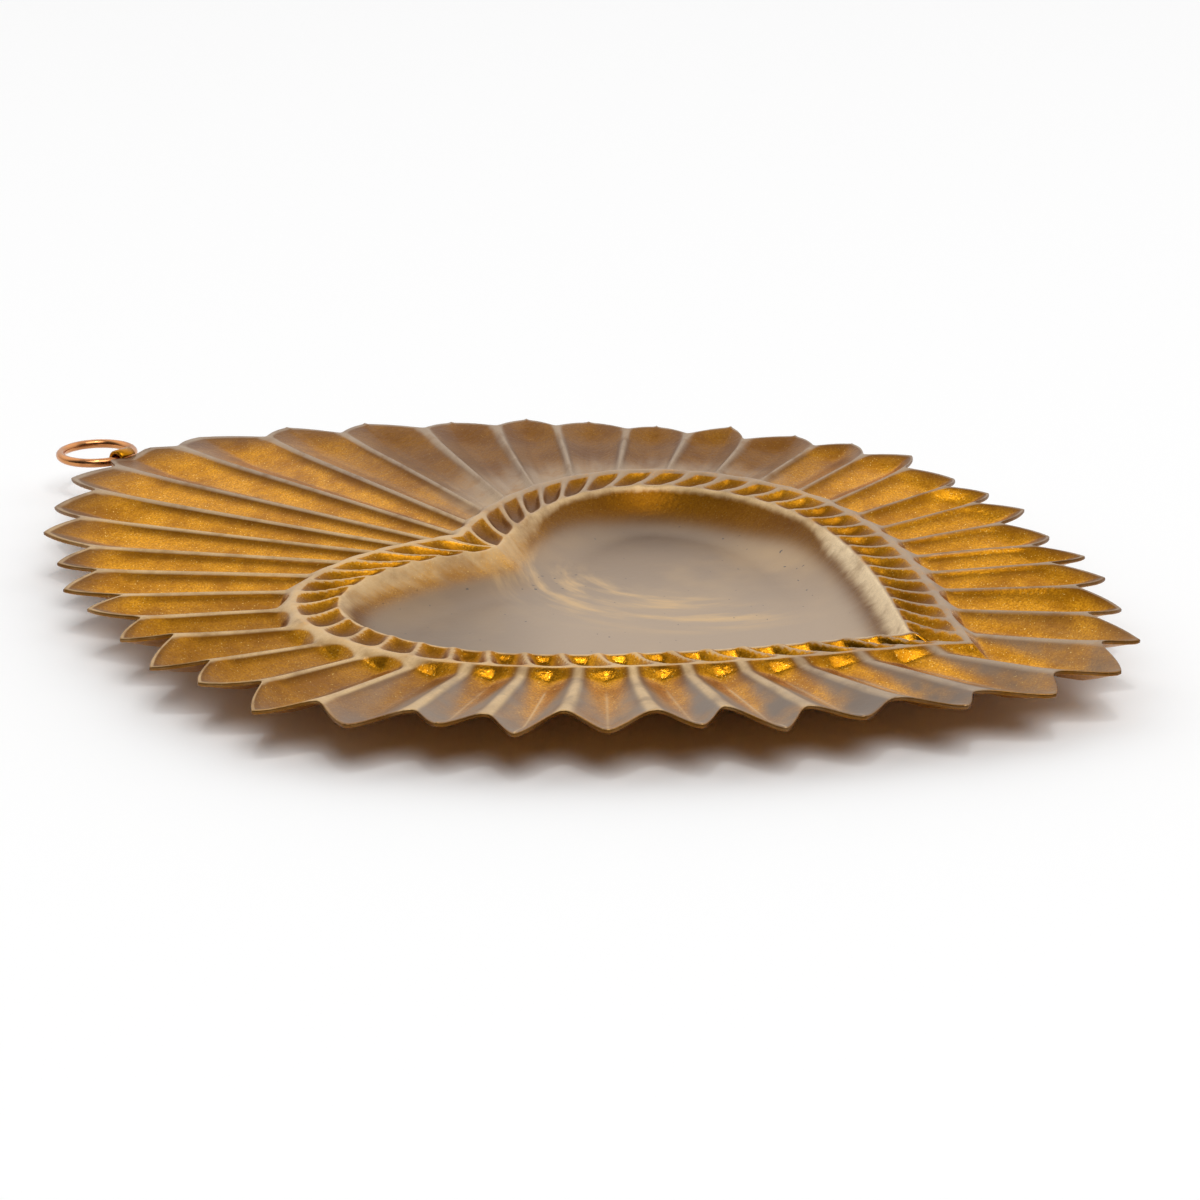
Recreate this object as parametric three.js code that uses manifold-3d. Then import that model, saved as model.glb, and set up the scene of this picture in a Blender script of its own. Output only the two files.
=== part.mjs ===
// A sacred heart ornament: one sheet of metal, pressed into a heart-shaped dish with a rope border
// and a fan of fluted rays, and a wire ring that turns in an eye rolled from the top ray.
// Millimetres. +Y runs up the ornament to its ring and +Z is the face.
// The origin is the middle of the fan of rays, on the flat back of the heart's floor, so that
// z = 0 is what the ornament lies on.

import * as THREE from "three";
import { mergeVertices } from "three/addons/utils/BufferGeometryUtils.js";
import Module from "manifold-3d";

// Outline through the points of the rays, seen from the face
const TOP_POINT = 81; // from y = 0 up to the point of the top ray, before it is rolled
const BOTTOM_POINT = 69; // from y = 0 down to the point of the bottom ray
const HALF_WIDTH = 62;
const UPPER_FULLNESS = 1.55; // 2 would be an ellipse and 1 a diamond
const LOWER_FULLNESS = 1.44;

// Rays
const RAY_COUNT = 40;
const NOTCH_DEPTH = 4.8; // the notch between two points
const POINT_BULGE = 1.15; // 1 cuts the points with straight edges
const FLUTE_SLOPE = 0.28; // how far a ridge rises above the valley, for each millimetre between them
const FLUTE_RUN = 2; // length of the slope at a flute's inner end
const FLUTE_SWEEP = 1.2; // how far that slope starts further out beside a ridge
const FLUTE_CURVE = 1.25; // 1 would be a plain V
const FLUTE_FADE = 0.75; // share of a ray's length after which its flute grows shallow
const RIDGE_DIP = 0.8; // how far the ridges drop behind the border

// Rim of the heart: two Bezier curves a side, from the cleft to the widest point and on to the tip
const CLEFT_Y = 15.6;
const WIDEST_Y = 2.8;
const HEART_TIP_Y = -42.8;
const HEART_HALF_WIDTH = 34.4;
const CLEFT_HANDLE_X = 12.5;
const CLEFT_HANDLE_Y = 5.5;
const LOBE_HANDLE = 22;
const FLANK_HANDLE = 19.5;
const TIP_HANDLE_X = 8;
const TIP_HANDLE_Y = 7.5;

// Border round the heart: a rope of slanted dimples, then a plain rail
const ROPE_WIDTH = 4.8;
const ROPE_DIMPLES = 26; // on each side, from the cleft to the tip
const ROPE_SLANT = 2; // how far a dimple leans towards the tip across the rope
const ROPE_DEPTH = 1;
const BRIDGE_DROP = 0.25; // bridges between the dimples, below the rim
const RAIL_WIDTH = 1.1;

// Heights
const SHEET = 0.5;
const DISH_DEPTH = 4.8;
const DISH_WALL = 9; // from the rim in to the flat floor
const DISH_CURVE = 2.2; // 1 would be a straight slope
const CLEFT_DIP = 0.8; // the rim is lower at the cleft
const CLEFT_DIP_REACH = 10;
const RAIL_RISE = 0.3; // rail above the rim
const POINT_RISE = 0.6; // points of the rays above the rim
const NOTCH_RISE = 0.5; // notches above the points

// Hanging ring and the eye that the top ray is rolled into
const WIRE = 1.2;
const RING_OUTSIDE = 11;
const EYE_WIDTH = 2.6;
const EYE_PLAY = 0.15; // between the wire and the ends of the eye
const EYE_SETBACK = 0.6; // front of the eye, behind where the point would be
const EYE_DROP = 0.7; // axis of the eye, below the points
const EYE_START = 150; // degrees: where the roll leaves the ray
const EYE_END = -165; // degrees: where the roll ends, under the ray
const SHOULDER_GAP = 0.5; // between the wire and the shoulders beside the eye

// Steps of the faceted surface
const RIM_STEPS = 400;
const HALVINGS = 30;
const SEARCH_REACH = 3; // how many times its offset a point can lie beyond the rim along its radius
const STEPS_PER_RAY = 4;
const STEPS_PER_DIMPLE = 4;
const DISH_STEPS = [64, 80, 96, 104]; // round the dish, from its floor up to the rim
const ROPE_ROWS = [0.25, 0.5, 0.75]; // shares of the rope's width
const RAY_ROWS = [0.07, 0.15, 0.4, 0.72, 0.87, 1]; // shares of a ray's length
const EYE_STEPS = 24;
const WIRE_STEPS = 10;
const RING_STEPS = 48;

// Heights and places that follow from the sizes
const TURN = 2 * Math.PI;
const floorTop = SHEET;
const rimTop = floorTop + DISH_DEPTH;
const pointTop = rimTop + POINT_RISE;
const ringRadius = (RING_OUTSIDE - WIRE) / 2;
const wireSag = ringRadius - Math.sqrt(ringRadius ** 2 - (EYE_WIDTH / 2) ** 2);
const eyeBore = WIRE / 2 + wireSag + EYE_PLAY;
const eyeOutside = eyeBore + SHEET;
const eyeY = TOP_POINT - EYE_SETBACK - eyeOutside;
const eyeZ = pointTop - EYE_DROP;

const wasm = await Module();
wasm.setup();

// A closed three.js geometry as a solid for the cuts and joins.
function solidOf(geometry) {
  const bare = geometry.clone();
  bare.deleteAttribute("normal");
  bare.deleteAttribute("uv");
  const merged = mergeVertices(bare);
  return new wasm.Manifold(
    new wasm.Mesh({
      numProp: 3,
      vertProperties: new Float32Array(merged.attributes.position.array),
      triVerts: new Uint32Array(merged.index.array),
    }),
  );
}

// A solid back as a three.js geometry.
function geometryOf(solid) {
  const mesh = solid.getMesh();
  const geometry = new THREE.BufferGeometry();
  geometry.setAttribute("position", new THREE.BufferAttribute(mesh.vertProperties, 3));
  geometry.setIndex(new THREE.BufferAttribute(mesh.triVerts, 1));
  geometry.computeVertexNormals();
  return geometry;
}

// Half of the heart's rim, on the +X side, as evenly spaced points from the cleft to the tip.
function halfRim() {
  const cleft = new THREE.Vector2(0, CLEFT_Y);
  const widest = new THREE.Vector2(HEART_HALF_WIDTH, WIDEST_Y);
  const tip = new THREE.Vector2(0, HEART_TIP_Y);
  const path = new THREE.CurvePath();
  path.add(
    new THREE.CubicBezierCurve(
      cleft,
      new THREE.Vector2(CLEFT_HANDLE_X, CLEFT_Y + CLEFT_HANDLE_Y),
      new THREE.Vector2(HEART_HALF_WIDTH, WIDEST_Y + LOBE_HANDLE),
      widest,
    ),
  );
  path.add(
    new THREE.CubicBezierCurve(
      widest,
      new THREE.Vector2(HEART_HALF_WIDTH, WIDEST_Y - FLANK_HANDLE),
      new THREE.Vector2(TIP_HANDLE_X, HEART_TIP_Y + TIP_HANDLE_Y),
      tip,
    ),
  );
  return path.getSpacedPoints(RIM_STEPS);
}

const rim = halfRim();
const rimAngles = rim.map((p) => Math.atan2(p.x, p.y));
const rimRadii = rim.map((p) => p.length());
const rimSpacing = rim[0].distanceTo(rim[1]);
const rimLength = rimSpacing * RIM_STEPS;

// The rim carried straight on past the tip, so that the border keeps a pointed corner there.
const tipDirection = rim[RIM_STEPS].clone().sub(rim[RIM_STEPS - 1]);
const tail = rim.map((_, i) => rim[RIM_STEPS].clone().addScaledVector(tipDirection, i));
const guide = [...rim, ...tail];

// Distance in the plane from a point to the heart's rim.
function rimDistance(x, y) {
  let nearest = Infinity;
  for (const p of guide) {
    nearest = Math.min(nearest, (Math.abs(x) - p.x) ** 2 + (y - p.y) ** 2);
  }
  return Math.sqrt(nearest);
}

// Angles run clockwise from +Y, as seen from the face.
const planX = (angle, radius) => radius * Math.sin(angle);
const planY = (angle, radius) => radius * Math.cos(angle);

// A list that rises along the rim, looked up at a value of another such list.
function lookUp(value, from, to) {
  let i = 1;
  while (i < RIM_STEPS && from[i] < value) {
    i += 1;
  }
  const share = (value - from[i - 1]) / (from[i] - from[i - 1]);
  return to[i - 1] + share * (to[i] - to[i - 1]);
}

// Radius of the rim at an angle.
function rimRadius(angle) {
  return lookUp(Math.min(angle, TURN - angle), rimAngles, rimRadii);
}

// Radius at an angle where the rim is a given distance away: outside it, or inside where negative.
function offsetRadius(angle, offset) {
  const outside = offset > 0;
  const distance = Math.abs(offset);
  let near = rimRadius(angle);
  let far = outside ? near + SEARCH_REACH * distance : 0;
  for (let i = 0; i < HALVINGS; i += 1) {
    const middle = (near + far) / 2;
    if (rimDistance(planX(angle, middle), planY(angle, middle)) < distance) {
      near = middle;
    } else {
      far = middle;
    }
  }
  return (near + far) / 2;
}

// Height of the rim, carried on to its neighbourhood: level, but lower about the cleft.
function rimHeight(x, y) {
  const away = (x ** 2 + (y - CLEFT_Y) ** 2) / CLEFT_DIP_REACH ** 2;
  return rimTop - CLEFT_DIP * Math.exp(-away);
}

// A vertex of the sheet's face.
function vertex(angle, radius, height) {
  const x = planX(angle, radius);
  const y = planY(angle, radius);
  return { angle, x, y, z: height(x, y) };
}

const evenAngles = (count) => Array.from({ length: count }, (_, i) => (TURN * i) / count);

// The dish: rows at even steps of distance from the rim, from the flat floor up.
function dishRows() {
  return DISH_STEPS.map((count, row) => {
    const share = 1 - row / DISH_STEPS.length;
    const height = (x, y) =>
      floorTop + (rimHeight(x, y) - floorTop) * (1 - share) ** DISH_CURVE;
    return evenAngles(count).map((angle) =>
      vertex(angle, offsetRadius(angle, -share * DISH_WALL), height),
    );
  });
}

// Angles of the rope's columns at a share of its width, the same on both sides of the heart.
// Each also has its phase in the pattern: whole numbers are bridges, halves the middles of dimples.
function ropeColumns(share) {
  const pitch = rimLength / ROPE_DIMPLES;
  const lean = (ROPE_SLANT * share) / pitch;
  const arcs = rim.map((_, i) => i * rimSpacing);
  const columns = [{ angle: 0, phase: -lean }];
  const first = -Math.floor(lean * STEPS_PER_DIMPLE);
  for (let k = first; k < ROPE_DIMPLES * STEPS_PER_DIMPLE; k += 1) {
    const phase = k / STEPS_PER_DIMPLE;
    const arc = (phase + lean) * pitch;
    if (arc > 0 && arc < rimLength) {
      columns.push({ angle: lookUp(arc, arcs, rimAngles), phase });
    }
  }
  columns.push({ angle: Math.PI, phase: ROPE_DIMPLES - lean });
  const mirrored = columns.slice(1, -1).reverse();
  return [...columns, ...mirrored.map((c) => ({ angle: TURN - c.angle, phase: c.phase }))];
}

// The rope: rows across its channel, with a dimple between each two bridges.
function ropeRows() {
  return ROPE_ROWS.map((share) =>
    ropeColumns(share).map(({ angle, phase }) => {
      const across = Math.sin(Math.PI * share);
      const dimple = (1 - Math.cos(TURN * phase)) / 2;
      const height = (x, y) =>
        rimHeight(x, y) + share * RAIL_RISE - across * (BRIDGE_DROP + ROPE_DEPTH * dimple);
      return vertex(angle, offsetRadius(angle, share * ROPE_WIDTH), height);
    }),
  );
}

const rayAngles = evenAngles(RAY_COUNT * STEPS_PER_RAY);
const railHeight = (x, y) => rimHeight(x, y) + RAIL_RISE;

// The rail: its inner and outer edge.
function railRows() {
  return [ROPE_WIDTH, ROPE_WIDTH + RAIL_WIDTH].map((offset) =>
    rayAngles.map((angle) => vertex(angle, offsetRadius(angle, offset), railHeight)),
  );
}

// How far a direction lies from the middle of its ray: 0 on the valley and 1 on the ridge.
function towardsRidge(angle) {
  const share = ((angle / TURN) * RAY_COUNT) % 1;
  return 1 - Math.abs(2 * share - 1);
}

// Radius of the outline through the points, which is an ellipse drawn in at its corners.
function pointRadius(angle) {
  const upper = Math.cos(angle) > 0;
  const fullness = upper ? UPPER_FULLNESS : LOWER_FULLNESS;
  const reach = upper ? TOP_POINT : BOTTOM_POINT;
  const sideways = Math.abs(Math.sin(angle) / HALF_WIDTH) ** fullness;
  const lengthways = Math.abs(Math.cos(angle) / reach) ** fullness;
  return (sideways + lengthways) ** (-1 / fullness);
}

// Height of a ray at a share of its length, between its rail and the sheet's edge.
function rayHeight(angle, radius, share, length, railZ) {
  const ridge = towardsRidge(angle);
  const halfWidth = (radius * Math.PI) / RAY_COUNT;
  const slope = (distance) => THREE.MathUtils.smoothstep(distance, 0, FLUTE_RUN);
  const outer = THREE.MathUtils.smoothstep(share, FLUTE_FADE, 1);
  const notchTop = pointTop + NOTCH_RISE;
  const dip = RIDGE_DIP * slope(share * length) * (1 - share);
  const crest = THREE.MathUtils.lerp(railZ, notchTop, share) - dip;
  const start = FLUTE_SWEEP * ridge ** 2;
  const inner = FLUTE_SLOPE * halfWidth * slope(share * length - start);
  const depth = THREE.MathUtils.lerp(inner, NOTCH_RISE, outer);
  return crest - depth * (1 - ridge ** FLUTE_CURVE);
}

// The rays: rows from the rail out to the cut edge with its points and notches.
function rayRows(rail) {
  return RAY_ROWS.map((share) =>
    rail.map(({ angle, x, y, z }) => {
      const start = Math.hypot(x, y);
      const notch = NOTCH_DEPTH * towardsRidge(angle) ** POINT_BULGE;
      const length = pointRadius(angle) - notch - start;
      const radius = start + share * length;
      return vertex(angle, radius, () => rayHeight(angle, radius, share, length, z));
    }),
  );
}

// Triangles between two rows that both start at angle 0, whatever their counts, facing +Z.
function joinRows(inner, outer, add) {
  const angleAt = (row, i) => (i < row.length ? row[i].angle : TURN);
  let i = 0;
  let j = 0;
  while (i < inner.length || j < outer.length) {
    const a = inner[i % inner.length];
    const b = outer[j % outer.length];
    const innerFirst = angleAt(inner, i + 1) <= angleAt(outer, j + 1);
    if (j === outer.length || (innerFirst && i < inner.length)) {
      i += 1;
      add(a, inner[i % inner.length], b);
    } else {
      j += 1;
      add(a, outer[j % outer.length], b);
    }
  }
}

// The pressed sheet before its eye is made: the rows joined into a face, and its back below it.
function pressedSheet() {
  const rimRow = evenAngles(DISH_STEPS.at(-1)).map((a) => vertex(a, rimRadius(a), rimHeight));
  const rail = railRows();
  const rows = [...dishRows(), rimRow, ...ropeRows(), ...rail, ...rayRows(rail[1])];
  const centre = { angle: 0, x: 0, y: 0, z: floorTop };
  const face = [centre, ...rows.flat()];
  face.forEach((v, i) => {
    v.index = i;
  });
  const index = [];
  const addBoth = (a, b, c) => {
    index.push(a.index, b.index, c.index);
    index.push(face.length + a.index, face.length + c.index, face.length + b.index);
  };
  const floor = rows[0];
  floor.forEach((v, i) => addBoth(centre, floor[(i + 1) % floor.length], v));
  for (let i = 1; i < rows.length; i += 1) {
    joinRows(rows[i - 1], rows[i], addBoth);
  }
  const edge = rows.at(-1);
  edge.forEach((v, i) => {
    const next = edge[(i + 1) % edge.length];
    index.push(v.index, next.index, face.length + v.index);
    index.push(next.index, face.length + next.index, face.length + v.index);
  });
  const positions = [
    ...face.flatMap((v) => [v.x, v.y, v.z]),
    ...face.flatMap((v) => [v.x, v.y, v.z - SHEET]),
  ];
  const geometry = new THREE.BufferGeometry();
  geometry.setAttribute("position", new THREE.Float32BufferAttribute(positions, 3));
  geometry.setIndex(index);
  return solidOf(geometry);
}

// A box between two corners, as a solid.
function boxBetween(low, high) {
  const size = high.clone().sub(low);
  const middle = low.clone().add(high).divideScalar(2);
  const box = new THREE.BoxGeometry(size.x, size.y, size.z);
  return solidOf(box.translate(middle.x, middle.y, middle.z));
}

// What is cut off the top ray: its point, and shoulders beside the eye for the ring to turn past.
function pointCut() {
  const back = eyeY - WIRE / 2 - SHOULDER_GAP;
  const front = TOP_POINT + RING_OUTSIDE;
  const half = EYE_WIDTH / 2;
  const low = pointTop - RING_OUTSIDE / 2;
  const high = pointTop + RING_OUTSIDE / 2;
  const point = boxBetween(
    new THREE.Vector3(-RING_OUTSIDE, eyeY, low),
    new THREE.Vector3(RING_OUTSIDE, front, high),
  );
  const right = boxBetween(
    new THREE.Vector3(half, back, low),
    new THREE.Vector3(RING_OUTSIDE, front, high),
  );
  const left = boxBetween(
    new THREE.Vector3(-RING_OUTSIDE, back, low),
    new THREE.Vector3(-half, front, high),
  );
  return point.add(right).add(left);
}

// The bore of the eye, along X.
function eyeHole() {
  const hole = new THREE.CylinderGeometry(eyeBore, eyeBore, EYE_WIDTH + SHEET, EYE_STEPS);
  return solidOf(hole.rotateZ(Math.PI / 2).translate(0, eyeY, eyeZ));
}

// The roll of sheet round the bore: it leaves the ray, goes over the wire and ends under the ray.
function eyeRoll() {
  const start = THREE.MathUtils.degToRad(EYE_START);
  const end = THREE.MathUtils.degToRad(EYE_END);
  const section = new THREE.Shape();
  section.absarc(0, 0, eyeOutside, start, end, true);
  section.absarc(0, 0, eyeBore, end, start, false);
  const roll = new THREE.ExtrudeGeometry(section, {
    depth: EYE_WIDTH,
    bevelEnabled: false,
    curveSegments: EYE_STEPS,
  });
  roll.translate(0, 0, -EYE_WIDTH / 2);
  const across = new THREE.Vector3(1, 0, 0);
  const along = new THREE.Vector3(0, 1, 0);
  const up = new THREE.Vector3(0, 0, 1);
  roll.applyMatrix4(new THREE.Matrix4().makeBasis(along, up, across));
  return solidOf(roll.translate(0, eyeY, eyeZ));
}

// The sheet with the point of its top ray rolled into an eye.
function heartSheet() {
  const solid = pressedSheet().subtract(pointCut()).subtract(eyeHole()).add(eyeRoll());
  const lacquer = new THREE.MeshStandardMaterial({
    color: 0x96692d,
    roughness: 0.38,
    metalness: 0.9,
  });
  const mesh = new THREE.Mesh(geometryOf(solid), lacquer);
  mesh.name = "heart_sheet";
  return mesh;
}

// The ring, level, with its wire through the middle of the eye. Its group is the hinge.
function hangingRing() {
  const wire = new THREE.TorusGeometry(ringRadius, WIRE / 2, WIRE_STEPS, RING_STEPS);
  const copper = new THREE.MeshStandardMaterial({
    color: 0xa8622e,
    roughness: 0.25,
    metalness: 1,
  });
  const mesh = new THREE.Mesh(wire, copper);
  mesh.name = "hanging_ring";
  mesh.position.y = ringRadius;
  const hinge = new THREE.Group();
  hinge.position.set(0, eyeY, eyeZ);
  hinge.add(mesh);
  return hinge;
}

const ornament = new THREE.Group();
ornament.add(heartSheet(), hangingRing());
export default ornament;
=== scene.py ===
"""The sacred heart ornament with its finish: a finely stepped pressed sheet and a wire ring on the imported
frame, in bronze lacquer and copper, on a white floor in soft light."""

import math

import bpy
import numpy as np
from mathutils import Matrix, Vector


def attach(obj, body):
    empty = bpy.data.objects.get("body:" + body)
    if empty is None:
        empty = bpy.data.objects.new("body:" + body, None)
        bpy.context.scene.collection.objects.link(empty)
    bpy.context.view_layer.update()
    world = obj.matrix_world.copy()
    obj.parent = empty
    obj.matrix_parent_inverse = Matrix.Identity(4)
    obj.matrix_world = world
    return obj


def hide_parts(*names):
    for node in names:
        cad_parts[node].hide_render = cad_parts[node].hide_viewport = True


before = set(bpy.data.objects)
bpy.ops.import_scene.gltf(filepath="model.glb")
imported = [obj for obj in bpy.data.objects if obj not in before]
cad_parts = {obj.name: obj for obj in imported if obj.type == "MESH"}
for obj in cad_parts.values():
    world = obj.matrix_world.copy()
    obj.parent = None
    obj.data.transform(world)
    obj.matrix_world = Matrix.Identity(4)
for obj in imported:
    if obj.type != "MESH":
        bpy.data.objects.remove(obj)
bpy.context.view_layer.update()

MM = 0.001
TURN = 2 * math.pi

# The pressed sheet, in millimetres and in the frame's own sizes: the outline through the points of the rays
TOP_POINT = 81
BOTTOM_POINT = 69
HALF_WIDTH = 62
UPPER_FULLNESS = 1.55
LOWER_FULLNESS = 1.44

# Sides of the fan that differ in the photo: the middle and the reach of each, in degrees from the top
NEAR_TURN = 218  # dull rays with rounder ridges, at the lower left: the near rays
NEAR_REACH = 58
FAR_TURN = 54  # dull rays at the upper right: the far rays
FAR_REACH = 46
BROAD_TURN = 325  # rays whose ridges are broader and better waxed, at the upper left
BROAD_REACH = 80
BROWN_TURN = 280  # rays with painted shade all over, at the left
BROWN_REACH = 36
BRIGHT_TURN = 140  # rays with little painted shade beside their ridges, at the right
BRIGHT_REACH = 62
SIDE_SOFTNESS = 2.2  # how soon within its reach a side is wholly so

# Rays
RAY_COUNT = 40
NOTCH_DEPTH = 4.8
NEAR_NOTCH = 0.86  # how deep the notches of near rays are, as a share of the others' depth
POINT_ROUND = 0.5  # how much rounder than a triangle the points are
FLUTE_SLOPE = 0.28
FLUTE_RUN = 2
FLUTE_SWEEP = 1.2
FLUTE_CURVE = 1.25
FLUTE_FADE = 0.75
RIDGE_DIP = 0.8
RIDGE_ROUND = 0.06  # rounding of the ridges, as a share of half a ray's width
NEAR_RIDGE_ROUND = 0.5
NOTCH_ROUND = 0.08  # rounding of the notches, as the same share
NEAR_NOTCH_ROUND = 0.4
POCKET_RUN = 4.5  # out from the rail, to where the flutes of near rays are at their full depth
BEAD_HEIGHT = 0.35  # the ridges' tops stand up as a bead
NEAR_BEAD_HEIGHT = 0.2
BEAD_WIDTH = 0.42
BROAD_BEAD_WIDTH = 0.6
NEAR_BEAD_WIDTH = 0.8
SCORE_WIDTH = 0.4  # line scored down the middle of near and far rays, to each side
SCORE_RISE = 0.15
SCORE_FROM = 2.6  # out from the rail, to where that line starts
SCORE_RUN = 2.2
UNEVEN_LENGTH = 0.6  # how much the ends of the rays differ, as bent by hand
UNEVEN_HEIGHT = 0.3
UNEVEN_TURN = 0.7
LENGTH_PACE = 2.4  # how fast each of those goes up and down from ray to ray
HEIGHT_PACE = 4.1
TURN_PACE = 1.7
NOTCH_PACE = 1.3  # how much faster it does so in the notches

# Rim of the heart
CLEFT_Y = 15.6
WIDEST_Y = 2.8
HEART_TIP_Y = -42.8
HEART_HALF_WIDTH = 34.4
CLEFT_HANDLE = (12.5, 5.5)
LOBE_HANDLE = 22
FLANK_HANDLE = 19.5
TIP_HANDLE = (8, 7.5)

# Border round the heart
ROPE_WIDTH = 4.8
ROPE_DIMPLES = 26  # to each side of the heart
ROPE_SLANT = 2
ROPE_DEPTH = 1
NEAR_ROPE_DEPTH = 1.4
ROPE_BRIDGE = 5  # how narrow the bridges between the dimples are
BRIDGE_DROP = 0.25
RAIL_WIDTH = 0.7

# Heights
SHEET = 0.5
DISH_DEPTH = 4.8
DISH_WALL = 9
DISH_CURVE = 2.2
CLEFT_DIP = 0.8
CLEFT_DIP_REACH = 10
RAIL_RISE = 0.3
POINT_RISE = 0.6
NOTCH_RISE = 0.5
EDGE_ROUND = 0.12  # rounding of the cut edge

# Places along the rim, from the cleft
CLEFT_REACH = 21
LEFT_REACH = 50  # the same on the -X side
FLANK_FROM = 60  # where a flank starts
FLANK_TO = 72  # from where on it is wholly a flank
LOBE_MIDDLE = 41  # the side of a lobe that is left bare, on the +X side
LOBE_REACH = 16
LOBE_FLATNESS = 4

# Where tan wax is rubbed on, and where painted sheen lies on it
WAX_RIM = 0.9  # down the dish's wall from the rim, all round
WAX_CLEFT = 3  # further down about the cleft
WAX_FLANK = 1.3  # further down along the flanks
WAX_WALL_FADE = 1.5  # the wax there ends at this many times that distance
WAX_CLEFT_WEAR = 0.35  # how much thinner it is about the cleft
WAX_DIMPLE = 0.16  # down into the dimples of the rope
WAX_FAR_DIMPLE = 0.5  # the same at the far rays
WAX_HOLLOW = 0.22  # down into the flutes of the rays
WAX_BROAD_HOLLOW = 0.4  # the same on the rays with broad ridges
WAX_END_HOLLOW = 0.16  # the same at the ends of rays
WAX_NEAR_CREST = (-0.4, 0)  # to each side of the ridges of near rays, where they start and end
WAX_NEAR_FADE = 1.7
WAX_SCORE = 0.6  # how much wax the scored lines of near rays have
WAX_FAR_BREADTH = 0.6  # how far the wax on the ridges of far rays is as broad as on near rays
FAR_SHEEN_START = 0.85  # how much painted pale sheen lies all over the far rays where they start, laid on as wax
FAR_SHEEN_REACH = 0.75  # share of their length at which that ends
WAX_EDGE = 0.62  # how much wax the rays' very edge has
EDGE_FROM = 0.985  # share of a ray's length from which on that is its edge
CUT_EDGE_WAX = 0.3  # how much wax the cut through the sheet has
GREY_MOST = 0.8  # how far a painted grey sheen greys the wax on the border and the rays
GREY_FROM = 5  # it grows greyer between these distances from the middle
GREY_TO = 38
ACROSS = (0.574, -0.819, 0)  # to the right of the photo
DOWN = (-0.819, -0.574, 0)  # to its near side

# Where the metal is bright or patinated, and where shade and a grey sheen are painted on it
POCKET_END = 4  # out from the rail, to where the bright pockets of the rays reach
SIDE_POLISH = 0.5  # how bright those are away from the near side
SIDE_DIMPLE_POLISH = 0.1  # how bright the dimples of the rope are there
PATINA_TOP = 0.95  # share of the wall's width up to which the dish is brushed brown
PATINA_FADE = 0.55
PATINA_LOBE_TOP = 0.85  # the same at the bare side of a lobe
PATINA_LOBE_FADE = 0.75
CLEFT_UNSHADED = 0.7  # how much less painted shade the dish's wall has about the cleft, where light falls on it
NEAR_DIMPLE_SHADE = 0.5  # painted shade in the dimples of the rope at near rays, as a share of the others'
SHADE_FROM = 0.4  # painted shade beside each ridge
SHADE_WIDTH = 1.8
BRIGHT_SHADE = 0.6  # share of that at the right
END_SHADE_FROM = 0.82  # share of a ray's length from which on its tip has painted shade
POCKET_SHADE = 0.7  # painted shade in the pockets of near rays
BROWN_SHADE = 0.55  # painted shade all over the rays at the left
FAR_END_SHADE = 0.85  # painted shade at the ends of the far rays
FAR_START_SHADE = 0.6  # share of that where they start
FAR_SHADE_RUN = 0.5  # share of their length within which it grows
SHEEN_FROM = 0.5  # share of a near ray's length from which on a painted grey sheen grows over its middle
SHEEN_RUN = 0.45
SHEEN_RIDGE = 0.7  # how much nearer to the rail its ridges do

# Marks of the mesh that its finish, painted shade and painted sheen go by
MARKS = ("patina", "wax", "shade", "sheen", "grey", "cream", "polish")
CUT_EDGE_MARKS = {"wax": CUT_EDGE_WAX, "shade": 1, "sheen": 0, "cream": 0}  # the others run on over the edge; the cut edge gets full painted shade
BACK_MARKS = ("grey",)  # those that run on over the back, where the others are 0

# Hanging ring and its eye
WIRE = 1.2
RING_OUTSIDE = 11
EYE_WIDTH = 2.6
EYE_PLAY = 0.15
EYE_SETBACK = 0.6
EYE_DROP = 0.7
EYE_START = 150
EYE_END = -165
SHOULDER_GAP = 0.5

# Steps of the fine surface
RIM_STEPS = 400
HALVINGS = 24
OFFSET_REACH = 3  # a place outside the rim is sought up to this many times its distance away
STEPS_PER_HALF_RAY = 10
FLOOR_SHARES = (0.2, 0.45, 0.7, 0.9)
WALL_STEPS = 15
FINE_FROM = -0.75  # offsets from the rim between which rows are close together
FINE_TO = 7.5
FINE_STEP = 0.25
CREASE_ROUNDS = 2  # how often heights there are averaged with their neighbours'
RAY_STEPS = 18
BACK_STEP = 2  # the back has every second row of the face
EYE_STEPS = 40
RING_STEPS = 120
WIRE_STEPS = 20

# Heights and places that follow
FLOOR_TOP = SHEET
RIM_TOP = FLOOR_TOP + DISH_DEPTH
POINT_TOP = RIM_TOP + POINT_RISE
NOTCH_TOP = POINT_TOP + NOTCH_RISE
RAIL_END = ROPE_WIDTH + RAIL_WIDTH
RING_RADIUS = (RING_OUTSIDE - WIRE) / 2
EYE_BORE = WIRE / 2 + RING_RADIUS - math.sqrt(RING_RADIUS**2 - (EYE_WIDTH / 2) ** 2) + EYE_PLAY
EYE_OUTSIDE = EYE_BORE + SHEET
EYE_Y = TOP_POINT - EYE_SETBACK - EYE_OUTSIDE
EYE_Z = POINT_TOP - EYE_DROP
SHOULDER_Y = EYE_Y - WIRE / 2 - SHOULDER_GAP


def smooth(x):
    """0 below 0, 1 above 1, and an even S between."""
    x = np.clip(x, 0, 1)
    return x * x * (3 - 2 * x)


def lerp(a, b, share):
    return a + (b - a) * share


def bezier(points):
    """Points along a cubic Bezier curve."""
    t = np.linspace(0, 1, RIM_STEPS)[:, None]
    a, b, c, d = (np.array(p, float) for p in points)
    return (1 - t) ** 3 * a + 3 * (1 - t) ** 2 * t * b + 3 * (1 - t) * t**2 * c + t**3 * d


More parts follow.
